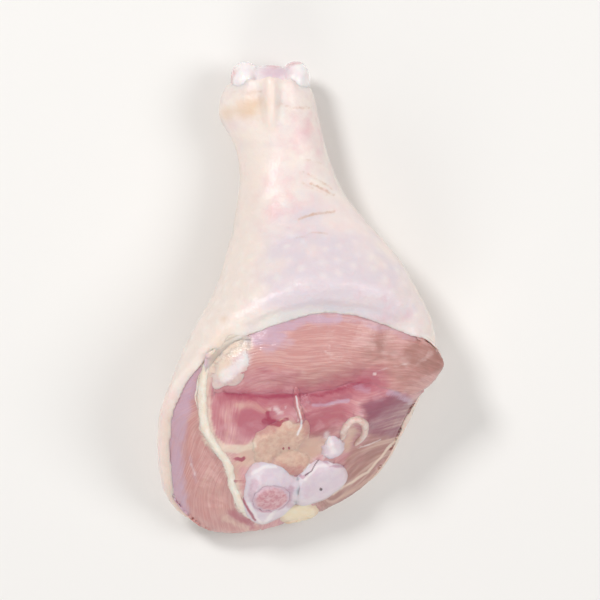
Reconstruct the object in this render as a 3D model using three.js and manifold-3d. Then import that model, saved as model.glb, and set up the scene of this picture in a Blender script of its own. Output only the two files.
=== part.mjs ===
// A raw chicken drumstick lying on its side, modelled in millimetres with +Z up.
// The leg runs along Y: the hock, with its two cartilage knobs, is at +Y, and the cut knee end is at -Y.
// A leg is skin round a bundle of three muscle heads, with the shin bone running through from knee to hock.
// The knee cut slants, so the skin ends in a slanting rim and the muscle heads, joint cartilage,
// fat and ligaments show in one domed face that looks up and out of the knee end.
import * as THREE from "three";
import { mergeVertices } from "three/addons/utils/BufferGeometryUtils.js";
import Module from "manifold-3d";

const wasm = await Module();
wasm.setup();

// ---- driving dimensions ----

const SKIN = 1.6; // skin with its fat
const GAP = 0.35; // clearance between neighbouring pieces
const FACE_DOME = 10.5; // how far the cut face bulges out of the skin's rim
const FLOOR_BLEND = 1.2; // the flattened underside runs into the round sides over this height

// Ribs of the outer skin, from the hock to the cut rim. Each rib is an oval: its centre, half its width and
// height, its lean (the top tips towards the hock) and its slew (the right side swings towards the hock), in
// degrees. Under 1, square fills out the corners of the oval's left and lower sides.
const RIBS = [
  { x: -8.5, y: 57.4, z: 11.4, width: 10.9, height: 9.4, lean: 0, slew: 0, square: 1 },
  { x: -8.2, y: 49.6, z: 11.2, width: 11.9, height: 10.3, lean: 0, slew: 0, square: 1 },
  { x: -5.9, y: 41.5, z: 11.0, width: 11.8, height: 10.3, lean: 0, slew: 0, square: 1 },
  { x: -4.1, y: 34.0, z: 11.2, width: 12.2, height: 10.8, lean: 2, slew: 0, square: 1 },
  { x: -2.7, y: 24.6, z: 12.0, width: 14.6, height: 12.4, lean: 5, slew: 5, square: 1 },
  { x: -0.4, y: 13.6, z: 13.8, width: 20.2, height: 16.0, lean: 12, slew: 11, square: 1 },
  { x: 0.8, y: 2.4, z: 15.8, width: 26.6, height: 20.4, lean: 22, slew: 13, square: 0.98 },
  { x: -0.7, y: -9.5, z: 17.5, width: 32.4, height: 25.0, lean: 34, slew: 13, square: 0.94 },
  { x: -1.4, y: -21.5, z: 18.8, width: 36.4, height: 29.6, lean: 47, slew: 16, square: 0.86 },
  { x: -3.6, y: -29.8, z: 20.0, width: 36.8, height: 31.6, lean: 55, slew: 17, square: 0.76 },
  { x: -2.8, y: -33.0, z: 20.8, width: 34.4, height: 32.2, lean: 58, slew: 17, square: 0.7 },
];

// Mesh steps: round the leg, along it, and from the rim to the middle of the cut face.
const ROUND = 40;
const SKIN_ROWS = 16;
const HOCK_ROWS = 2;
const FACE_ROWS = 14;

// ---- small tools ----

const TURN = 2 * Math.PI;
const rad = THREE.MathUtils.degToRad;
const clamp = THREE.MathUtils.clamp;
const lerp = THREE.MathUtils.lerp;
const smooth = THREE.MathUtils.smoothstep;
const hill = (distance, reach) => Math.exp(-((distance / reach) ** 2));
const vec = (x, y, z) => new THREE.Vector3(x, y, z);

// A Catmull-Rom curve through evenly spaced numbers, read at t from 0 to 1.
function through(values, t) {
  const last = values.length - 1;
  const place = clamp(t, 0, 1) * last;
  const start = Math.min(Math.floor(place), last - 1);
  const f = place - start;
  const [a, b, c, d] = [-1, 0, 1, 2].map((k) => values[clamp(start + k, 0, last)]);
  return b + 0.5 * f * (c - a + f * (2 * a - 5 * b + 4 * c - d + f * (3 * (b - c) + d - a)));
}

// Moves each vertex of a three.js shape to place(u, v, x, y, z), given its texture and space coordinates.
function reshaped(geometry, place) {
  const { position, uv } = geometry.attributes;
  for (let i = 0; i < position.count; i++) {
    const p = place(uv.getX(i), uv.getY(i), position.getX(i), position.getY(i), position.getZ(i));
    position.setXYZ(i, p.x, p.y, p.z);
  }
  geometry.deleteAttribute("normal");
  geometry.deleteAttribute("uv");
  return mergeVertices(geometry, 1e-4);
}

function signedVolume(points, faces) {
  const [a, b, c] = [vec(), vec(), vec()];
  let sum = 0;
  for (let i = 0; i < faces.length; i += 3) {
    a.fromArray(points, 3 * faces[i]);
    b.fromArray(points, 3 * faces[i + 1]);
    c.fromArray(points, 3 * faces[i + 2]);
    sum += a.dot(b.cross(c));
  }
  return sum / 6;
}

// A closed, merged geometry as a manifold-3d solid, with its faces turned out.
function solid(geometry) {
  const points = new Float32Array(geometry.attributes.position.array);
  const faces = new Uint32Array(geometry.index.array);
  if (signedVolume(points, faces) < 0) {
    for (let i = 0; i < faces.length; i += 3) {
      [faces[i + 1], faces[i + 2]] = [faces[i + 2], faces[i + 1]];
    }
  }
  return new wasm.Manifold(new wasm.Mesh({ numProp: 3, vertProperties: points, triVerts: faces }));
}

const joined = (bodies) => bodies.reduce((whole, body) => whole.add(body));

// Cutting can leave loose slivers at a rim, so a piece keeps its largest body only.
function largest(body) {
  return body.decompose().reduce((best, part) => (part.volume() > best.volume() ? part : best));
}

function geometryOf(body) {
  const mesh = body.getMesh();
  const geometry = new THREE.BufferGeometry();
  geometry.setAttribute("position", new THREE.BufferAttribute(mesh.vertProperties, 3));
  geometry.setIndex(new THREE.BufferAttribute(mesh.triVerts, 1));
  geometry.computeVertexNormals();
  return geometry;
}

// ---- the leg's outer surface ----

const RIB_LINES = Object.keys(RIBS[0]).map((key) => [key, RIBS.map((rib) => rib[key])]);
const ribsFound = new Map();

function ribAt(u) {
  if (!ribsFound.has(u)) {
    ribsFound.set(u, Object.fromEntries(RIB_LINES.map(([key, line]) => [key, through(line, u)])));
  }
  return ribsFound.get(u);
}

const widthAxis = (rib) => vec(Math.cos(rad(rib.slew)), Math.sin(rad(rib.slew)), 0);
const heightAxis = (rib) => vec(0, Math.sin(rad(rib.lean)), Math.cos(rad(rib.lean)));

function ovalPoint(u, angle) {
  const rib = ribAt(u);
  const [c, s] = [Math.cos(angle), Math.sin(angle)];
  const low = c < 0 ? 0.8 : -0.8 * s;
  const power = lerp(1, rib.square, s < 0 ? low : Number(c < 0));
  return vec(rib.x, rib.y, rib.z)
    .addScaledVector(widthAxis(rib), rib.width * Math.sign(c) * Math.abs(c) ** power)
    .addScaledVector(heightAxis(rib), rib.height * Math.sign(s) * Math.abs(s) ** power);
}

// The outward normal of a surface given by place(u, angle).
function normalOf(place, u, angle) {
  const step = 0.004;
  const along = place(Math.min(u + step, 1), angle).sub(place(Math.max(u - step, 0), angle));
  const round = place(u, angle + step * TURN).sub(place(u, angle - step * TURN));
  return along.cross(round).normalize().negate();
}

// Muscle and fat under the skin, as lifts of the skin along its normal: the tendon ridge and the pad of fat by
// the hock, the corner where the calf muscle ends, puckers by the rim and the unevenness of a soft body.
const TENDON = { x: -8.2, from: 38, to: 55, reach: 1.9, lift: 1.4 };
const HOCK_FAT = { y: 48.6, reach: 5.6, lift: 3 };
const CALF_CORNER = { angle: rad(13), reach: 0.3, from: 0.6, lift: 8.4 };
const PUCKERS = { count: 9, phase: 0.7, from: 0.8, lift: 0.4 };
const UNEVEN = { waveX: 30, waveY: 37, lift: 0.5 };

function underSkin(p, n, u, angle) {
  const up = Math.max(n.z, 0);
  const ridge = hill(p.x - TENDON.x, TENDON.reach) * smooth(p.y, TENDON.from, TENDON.to) * up;
  const fat = hill(p.y - HOCK_FAT.y, HOCK_FAT.reach) * Math.max(-n.x, 0) ** 2;
  const puckers = Math.sin(PUCKERS.count * angle + PUCKERS.phase) * smooth(u, PUCKERS.from, 1) * up;
  const uneven = Math.sin((TURN * p.x) / UNEVEN.waveX + 0.9) * Math.sin((TURN * p.y) / UNEVEN.waveY + 0.3) * up;
  return TENDON.lift * ridge + HOCK_FAT.lift * fat + PUCKERS.lift * puckers + UNEVEN.lift * uneven;
}

// The corner is pushed straight out from the leg's middle.
function cornerPush(u, angle) {
  const turn = Math.atan2(Math.sin(angle - CALF_CORNER.angle), Math.cos(angle - CALF_CORNER.angle));
  const growing = Math.max(u - CALF_CORNER.from, 0) / (1 - CALF_CORNER.from);
  return CALF_CORNER.lift * hill(turn, CALF_CORNER.reach) * growing ** 2;
}

// The surface the leg lies on flattens its underside at z = 0.
function onFloor(z) {
  if (z > FLOOR_BLEND) return z;
  if (z < -FLOOR_BLEND) return 0;
  return (z + FLOOR_BLEND) ** 2 / (4 * FLOOR_BLEND);
}

function skinPoint(u, angle) {
  const p = ovalPoint(u, angle);
  const n = normalOf(ovalPoint, u, angle);
  const { x, y, z } = ribAt(u);
  const out = p.clone().sub(vec(x, y, z)).normalize();
  p.addScaledVector(n, underSkin(p, n, u, angle)).addScaledVector(out, cornerPush(u, angle));
  p.z = onFloor(p.z);
  return p;
}

function underSkinPoint(u, angle, depth) {
  return skinPoint(u, angle).addScaledVector(normalOf(skinPoint, u, angle), -depth);
}

// ---- the cut face ----

const RIM = RIBS[RIBS.length - 1];
const FACE_OUT = heightAxis(RIM).cross(widthAxis(RIM)).negate().normalize();
const FACE_CENTRE = vec(RIM.x, RIM.y, RIM.z);
const FLESH_DEPTH = SKIN + GAP;
const FACE_REACH = 1.2; // the face's surface is followed this far, counting its middle as 0 and its rim as 1

// The crease under the calf muscle, as the y of its bottom at each x.
const creaseAt = (x) => -25.4 + 3 * hill(x - 15, 7);

// Lifts (+) and dips (-) of the muscle heads in the face, by where they lie in plan.
function muscleRelief(x, y) {
  const overCrease = y - creaseAt(x);
  const roll = 1.8 * hill(overCrease - 11, 8) * hill(x - 4, 34);
  const crease = -2 * hill(overCrease, 4.2) * smooth(x, -27, -18) * smooth(-x, -34, -12);
  const shin = 1.3 * hill(Math.hypot(x + 15, y + 33), 8);
  const outer = 1.2 * hill(x + 30, 6) * smooth(-y, 20, 34);
  const inner = 1.2 * hill(Math.hypot((x - 22) / 1.3, y + 31), 8);
  const joint = -3 * hill(Math.hypot((x - 1) / 1.35, y + 41), 8.5);
  return roll + crease + shin + outer + inner + joint;
}

// The face at a share r of the way from its middle to the rim, lifted by lift.
function facePoint(r, angle, lift = 0) {
  const p = FACE_CENTRE.clone().lerp(underSkinPoint(1, angle, FLESH_DEPTH), r);
  p.addScaledVector(FACE_OUT, FACE_DOME * (1 - r * r));
  return p.addScaledVector(FACE_OUT, muscleRelief(p.x, p.y) * smooth(1 - r, 0, 0.16) + lift);
}

// The face under a point of the plan: a search that corrects r and the angle until x and y agree.
function faceBelow(x, y, lift = 0) {
  const across = widthAxis(RIM).multiplyScalar(RIM.width);
  const up = heightAxis(RIM).multiplyScalar(RIM.height);
  let [a, b] = [0, 0];
  for (let k = 0; k < 12; k++) {
    const p = facePoint(Math.hypot(a, b), Math.atan2(b, a));
    const step = (x - p.x) / across.x;
    a += 0.8 * step;
    b += (0.8 * (y - p.y - step * across.y)) / up.y;
  }
  return facePoint(Math.min(Math.hypot(a, b), FACE_REACH), Math.atan2(b, a), lift);
}

// ---- skin and muscle ----

// Rows run closer together at the hock and the rim than along the middle of the leg.
const rowAt = (t) => t - (0.45 * Math.sin(TURN * t)) / TURN;

// The skin is a closed sleeve: out along the leg, round its cut rim and back along the inside.
function skinSleeve() {
  const rows = 2 * SKIN_ROWS + 4;
  const lip = 0.6;
  const profile = (k) => {
    if (k <= SKIN_ROWS) return { u: rowAt(k / SKIN_ROWS), depth: 0 };
    if (k === SKIN_ROWS + 1) return { u: 1, depth: SKIN / 2, out: lip };
    if (k <= 2 * SKIN_ROWS + 2) return { u: rowAt((2 * SKIN_ROWS + 2 - k) / SKIN_ROWS), depth: SKIN };
    return { u: 0, depth: SKIN / 2, out: -lip };
  };
  return reshaped(new THREE.TorusGeometry(2, 1, rows, ROUND), (around, v) => {
    const { u, depth, out = 0 } = profile(Math.round(v * rows) % rows);
    const angle = around * TURN;
    const p = underSkinPoint(u, angle, depth);
    const ahead = skinPoint(Math.min(u + 0.01, 1), angle).sub(skinPoint(Math.max(u - 0.01, 0), angle));
    p.addScaledVector(ahead.normalize(), out);
    p.z = Math.max(p.z, 0);
    return p;
  });
}

// All the flesh inside the skin, domed out of the rim as the cut face; rise lifts the face clear of its rim.
function fleshBody(rise = 0) {
  const rows = HOCK_ROWS + SKIN_ROWS + FACE_ROWS;
  const first = 0.01;
  const hockMiddle = vec(RIBS[0].x, RIBS[0].y - 1, RIBS[0].z);
  return reshaped(new THREE.SphereGeometry(1, ROUND, rows), (around, v) => {
    const k = Math.round((1 - v) * rows);
    const angle = around * TURN;
    if (k === 0) return hockMiddle.clone();
    if (k < HOCK_ROWS) return hockMiddle.clone().lerp(underSkinPoint(first, angle, FLESH_DEPTH), k / HOCK_ROWS);
    if (k <= HOCK_ROWS + SKIN_ROWS) {
      return underSkinPoint(Math.max(rowAt((k - HOCK_ROWS) / SKIN_ROWS), first), angle, FLESH_DEPTH);
    }
    const r = (rows - k) / FACE_ROWS;
    return facePoint(r, r === 0 ? 0 : angle, rise * smooth(1 - r, 0, 0.06));
  });
}

// Everything above the wall between the calf muscle and the two heads under it. The wall leaves the face at the
// crease and sinks by these amounts on its way to the hock, where it comes up through the skin.
const CALF_WALL = { left: -23.2, right: 60, sinks: [0, 5, 9, 12.6, 12.8, 8.5, -3], step: 13 };
const FAR = 90;

function aboveCalfWall(grow) {
  const columns = new Map();
  const wallTop = (x) => {
    const key = x.toFixed(3);
    if (!columns.has(key)) columns.set(key, faceBelow(clamp(x, -30, 32), creaseAt(x)).z);
    return columns.get(key);
  };
  const rows = 9;
  return reshaped(new THREE.BoxGeometry(1, 1, 1, 20, rows, 1), (u, v, bx, by, bz) => {
    const x = lerp(CALF_WALL.left - grow, CALF_WALL.right, bx + 0.5);
    const row = Math.round((by + 0.5) * rows) - 1;
    const share = Math.max(row, 0) / (rows - 1);
    const sunk = through(CALF_WALL.sinks, share);
    const beyond = row < 0 ? -FAR : CALF_WALL.step * (CALF_WALL.sinks.length - 1) * share;
    const z = wallTop(x) - (row < 0 ? -0.3 * FAR : sunk) - grow;
    return vec(x, creaseAt(x) + beyond, bz > 0 ? 2 * FAR : z);
  });
}

// Everything left of the wall between the outer and the shin muscle: its x at even steps from knee to hock.
const OUTER_WALL = { from: -64, to: 52, line: [-9, -17.4, -22.6, -26, -23.2, -19.5, -15.5, -14.5, -18, -28] };

function leftOfOuterWall(grow) {
  return reshaped(new THREE.BoxGeometry(1, 1, 1, 1, 22, 1), (u, v, bx, by, bz) => {
    const y = lerp(OUTER_WALL.from, OUTER_WALL.to, by + 0.5);
    return vec(bx < 0 ? -FAR : through(OUTER_WALL.line, by + 0.5) + grow, y, bz > 0 ? FAR : -FAR);
  });
}

// ---- pieces let into the face ----

// A smooth-edged pad let into the face: rise above it, sunk below it. Its outline is an oval in plan, turned by
// turn degrees, with waves round its edge and taper making its far end broader than its near end.
function pad(shape, grow = 0, steps = [18, 9]) {
  const { x, y, wide, long, turn = 0, rise, sunk, waves = 0, count = 3, phase = 0, taper = 0 } = shape;
  const [c, s] = [Math.cos(rad(turn)), Math.sin(rad(turn))];
  return reshaped(new THREE.SphereGeometry(1, ...steps), (around, v) => {
    const angle = around * TURN;
    const height = Math.cos((1 - v) * Math.PI);
    const spread = Math.sin((1 - v) * Math.PI) ** 0.6 * (1 + waves * Math.cos(count * angle + phase));
    const lift = height > 0 ? (rise + grow) * height ** 0.8 : -(sunk + grow) * (-height) ** 0.7;
    const px = (wide * (1 + taper * Math.sin(angle)) + grow) * spread * Math.cos(angle);
    const py = (long + grow) * spread * Math.sin(angle);
    return faceBelow(x + px * c - py * s, y + px * s + py * c, lift);
  });
}

// A round cord laid along the face through points of the plan, with rounded ends sunk into it.
function strand({ route, radius, rise, steps = 14 }, grow = 0) {
  const line = new THREE.CatmullRomCurve3(route.map(([x, y, lift = rise]) => faceBelow(x, y, lift)));
  const frames = line.computeFrenetFrames(steps, false);
  return reshaped(new THREE.SphereGeometry(1, 7, steps), (around, v) => {
    const k = Math.round((1 - v) * steps);
    const angle = around * TURN;
    const reach = (radius + grow) * Math.sqrt(Math.max(1 - ((2 * k) / steps - 1) ** 8, 0));
    return line
      .getPointAt(k / steps)
      .addScaledVector(frames.normals[k], reach * Math.cos(angle))
      .addScaledVector(frames.binormals[k], reach * Math.sin(angle));
  });
}

// The shin bone: an even shaft that widens at both ends. At the knee it turns up to the face, where its marrow
// shows, and at the hock it stops inside the cartilage.
const MARROW_AT = faceBelow(-8.4, -52.5);
const BONE_AXIS = new THREE.CatmullRomCurve3([
  MARROW_AT.clone().addScaledVector(FACE_OUT, 6),
  MARROW_AT.clone().addScaledVector(FACE_OUT, -2),
  vec(-7.2, -40, 12.5),
  vec(-5.0, -24, 13.6),
  vec(-4.5, 0, 13.2),
  vec(-6, 34, 11.6),
  vec(-8, 53.4, 11.2),
]);
const BONE_RADII = [4.7, 4.7, 5.2, 4.8, 4.2, 4, 4, 4.1, 4.4, 5];

function shinBone(grow = 0) {
  const [sides, steps] = [11, 13];
  const frames = BONE_AXIS.computeFrenetFrames(steps, false);
  return reshaped(new THREE.SphereGeometry(1, sides, steps + 2), (around, v) => {
    const k = Math.round((1 - v) * (steps + 2));
    const station = clamp(k - 1, 0, steps);
    const angle = around * TURN;
    const p = BONE_AXIS.getPointAt(station / steps);
    const ahead = BONE_AXIS.getTangentAt(station / steps);
    if (k === 0) return p.addScaledVector(ahead, -1 - grow);
    if (k === steps + 2) return p.addScaledVector(ahead, 1 + grow);
    const reach = through(BONE_RADII, station / steps) + grow;
    p.addScaledVector(frames.normals[station], reach * Math.cos(angle));
    return p.addScaledVector(frames.binormals[station], reach * Math.sin(angle));
  });
}

// The hock: two rollers side by side with a saddle between them, each an ellipsoid from a sphere.
const HOCK_BALLS = [
  { centre: [-15.2, 57.5, 11.6], radii: [3.8, 5.0, 7.0] },
  { centre: [-1.8, 57.5, 11.2], radii: [3.8, 5.0, 6.8] },
  { centre: [-8.5, 56.6, 11.3], radii: [8.0, 4.8, 5.6] },
];

function ball({ centre, radii }, grow) {
  return reshaped(new THREE.SphereGeometry(1, 12, 8), (u, v, x, y, z) => {
    const [rx, ry, rz] = radii.map((radius) => radius + grow);
    return vec(centre[0] + rx * x, centre[1] + ry * y, centre[2] + rz * z);
  });
}

// The knee joint's cartilage: a left lobe round the marrow, a right lobe, and the neck between them.
const KNEE_LOBES = [
  { x: -2.0, y: -50.6, wide: 4.8, long: 3.0, rise: 1.0, sunk: 4 },
  { x: -9.0, y: -51.6, wide: 6.7, long: 8.4, turn: -12, rise: 1.3, sunk: 5, waves: 0.04, taper: 0.22 },
  { x: 4.2, y: -48.6, wide: 7.6, long: 4.9, turn: 33, rise: 1.5, sunk: 5, waves: 0.08, phase: 2 },
];

const PADS = {
  joint_capsule: { x: -3.2, y: -43.0, wide: 4.8, long: 3.2, turn: -8, rise: 1.0, sunk: 2.6, waves: 0.08 },
  ligament_stub: { x: 8.0, y: -39.2, wide: 2.4, long: 3.0, turn: -20, rise: 1.5, sunk: 2.4, waves: 0.1 },
  fascia: { x: -18.6, y: -17.4, wide: 3.4, long: 6.6, turn: -38, rise: 0.5, sunk: 1, waves: 0.07, phase: 1 },
  joint_fat: { x: -6.0, y: -37.4, wide: 7.8, long: 4.2, turn: 28, rise: 0.9, sunk: 2.6, waves: 0.1, phase: 0.5 },
  knee_fat: { x: -1.0, y: -57.0, wide: 4.8, long: 2.2, turn: 10, rise: 0.7, sunk: 2.4, waves: 0.05 },
};

const STRANDS = {
  ligament_loop: {
    radius: 1.05,
    rise: 0.7,
    route: [[10.4, -37.6, -1.4], [11.2, -33.2], [13.4, -31.2], [15.9, -32.2], [16.0, -35.6], [13.4, -39.4, -1.4]],
  },
  septum: {
    radius: 1.0,
    rise: 0.3,
    steps: 22,
    route: [
      [-22.6, -13.4, -1.2],
      [-25.4, -18.4],
      [-26.1, -26.0],
      [-25.4, -34.0],
      [-22.4, -39.4],
      [-19.4, -43.6],
      [-18.2, -49.6],
      [-15.2, -55.8],
      [-12.4, -59.4, -1.2],
    ],
  },
  tendon_strand: {
    radius: 0.7,
    rise: 0.15,
    route: [[-2.4, -23.2, -0.9], [-1.4, -27.4], [-0.2, -31.4], [-0.4, -34.6, -0.9]],
  },
};

// ---- fitting the pieces together ----

const COLOURS = {
  skin: 0xead7d2,
  calf_muscle: 0xc78c85,
  shin_muscle: 0xc4828f,
  outer_muscle: 0xcf9490,
  shin_bone: 0xc98f97,
  hock_cartilage: 0xe6dde4,
  knee_cartilage: 0xe4dbe4,
  joint_capsule: 0xdcbfa4,
  ligament_stub: 0xece4e2,
  ligament_loop: 0xe8dad2,
  fascia: 0xe9dde0,
  joint_fat: 0xe8d2b4,
  knee_fat: 0xe6d2a0,
  septum: 0xe6d0b8,
  tendon_strand: 0xe9dcd6,
};
const WET = 0.35; // roughness of moist flesh

const group = new THREE.Group();

function show(name, body) {
  const material = new THREE.MeshStandardMaterial({ color: COLOURS[name], roughness: WET, metalness: 0 });
  const mesh = new THREE.Mesh(geometryOf(largest(body)), material);
  mesh.name = name;
  group.add(mesh);
}

const hockCartilage = (grow) => joined(HOCK_BALLS.map((shape) => solid(ball(shape, grow))));
const kneeCartilage = (grow) => joined(KNEE_LOBES.map((shape) => solid(pad(shape, grow, [16, 8]))));
const flesh = solid(fleshBody());
const insideSkin = solid(fleshBody(5));

// Each later piece is cut clear of the grown forms of those before it.
const makers = [["knee_cartilage", kneeCartilage]];
for (const [name, shape] of Object.entries(PADS)) makers.push([name, (grow) => solid(pad(shape, grow, [14, 7]))]);
for (const [name, shape] of Object.entries(STRANDS)) makers.push([name, (grow) => solid(strand(shape, grow))]);

const boneRoom = solid(shinBone(GAP));
show("hock_cartilage", hockCartilage(0).subtract(boneRoom));
show("shin_bone", solid(shinBone()).intersect(joined([flesh, kneeCartilage(0), hockCartilage(0)])));
let taken = joined([boneRoom, hockCartilage(GAP)]);
for (const [name, make] of makers) {
  show(name, make(0).intersect(insideSkin).subtract(taken));
  taken = taken.add(make(GAP));
}

const underCalf = flesh.subtract(solid(aboveCalfWall(GAP)));
show("calf_muscle", flesh.intersect(solid(aboveCalfWall(0))).subtract(taken));
show("outer_muscle", underCalf.intersect(solid(leftOfOuterWall(0))).subtract(taken));
show("shin_muscle", underCalf.subtract(solid(leftOfOuterWall(GAP))).subtract(taken));
show("skin", solid(skinSleeve()).subtract(hockCartilage(GAP)));

// The leg's bounding box is centred on X and Y.
const middle = new THREE.Box3().setFromObject(group).getCenter(vec());
group.position.set(-middle.x, -middle.y, 0);

export default group;
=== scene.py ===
"""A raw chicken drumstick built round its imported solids: skin, muscle heads, knee joint, hock and a stage."""

import bmesh
import bpy
import numpy as np
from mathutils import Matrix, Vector, noise
from mathutils.bvhtree import BVHTree
from mathutils.kdtree import KDTree


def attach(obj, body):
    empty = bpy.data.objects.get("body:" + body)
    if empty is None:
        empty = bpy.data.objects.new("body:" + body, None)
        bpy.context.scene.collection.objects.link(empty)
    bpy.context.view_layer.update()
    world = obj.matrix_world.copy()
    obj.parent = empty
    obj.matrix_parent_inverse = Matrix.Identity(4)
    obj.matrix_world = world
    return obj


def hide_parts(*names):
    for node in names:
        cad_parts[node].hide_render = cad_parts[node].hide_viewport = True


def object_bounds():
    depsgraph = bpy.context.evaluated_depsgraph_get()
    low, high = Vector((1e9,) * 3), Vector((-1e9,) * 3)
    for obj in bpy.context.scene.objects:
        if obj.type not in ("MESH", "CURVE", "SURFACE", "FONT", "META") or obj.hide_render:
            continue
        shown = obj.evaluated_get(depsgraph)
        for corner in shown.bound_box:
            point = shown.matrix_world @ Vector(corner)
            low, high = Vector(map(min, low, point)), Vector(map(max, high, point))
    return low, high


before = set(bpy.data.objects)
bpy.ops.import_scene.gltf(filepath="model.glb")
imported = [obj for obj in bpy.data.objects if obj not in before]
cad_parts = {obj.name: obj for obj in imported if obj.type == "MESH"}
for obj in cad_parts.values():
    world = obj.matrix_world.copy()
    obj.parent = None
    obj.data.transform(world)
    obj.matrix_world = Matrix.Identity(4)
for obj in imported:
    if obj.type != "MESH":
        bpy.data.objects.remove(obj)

CAD_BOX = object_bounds()

bl_info = {
    "name": "Raw chicken drumstick",
    "version": (1, 0, 0),
    "blender": (4, 5, 0),
    "location": "View3D > Sidebar > Drumstick",
    "description": "Dresses the solids of a raw chicken drumstick as skin, muscle, fat, cartilage and bone",
    "category": "Add Mesh",
}

MM = 0.001
BODY = "root"
SEED = 41
CUT_EDGE = 0.9  # radians; sharper edges than this are shaded as cut
TISSUE_IOR = 1.4
WATER_IOR = 1.33
FLESH_SCATTER = (1.0, 0.5, 0.4)  # red light goes furthest under the surface
FACE_OUT = np.array((0.160, -0.523, 0.837))  # the way the cut face looks
RIM_CENTRE = np.array((-2.2, -32.4, 20.8))  # a point in the plane of the skin's rim, in millimetres
SMOOTH_CELL = 0.7 * MM  # mesh cell of the smooth face that the pieces of the cut are laid on
SMOOTH_ROUNDS = 10
WELD = 0.002 * MM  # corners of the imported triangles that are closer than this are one
RAY_START = 30.0  # millimetres over the cut face, from where its height is felt
FAR = -99.0  # the height of points that lie beside the cut face
TIP_REACH = 1.7  # millimetres that the calf's tip is drawn out

# The lines that part the muscle heads, in plan and in millimetres.
CREASE = (
    (-19.5, -24.2),
    (-14.9, -24.8),
    (-10.2, -25.2),
    (-2.9, -25),
    (4.9, -24.8),
    (10.2, -23.4),
    (15.4, -21.6),
    (19.6, -21.2),
)
CREASE_END = ((25, -23), (31, -27))
SEPTUM = ((-23.8, -14), (-25, -22), (-25.6, -29), (-24.3, -36.9), (-21.7, -39.2), (-16.5, -39.6), (-12, -38))

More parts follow.
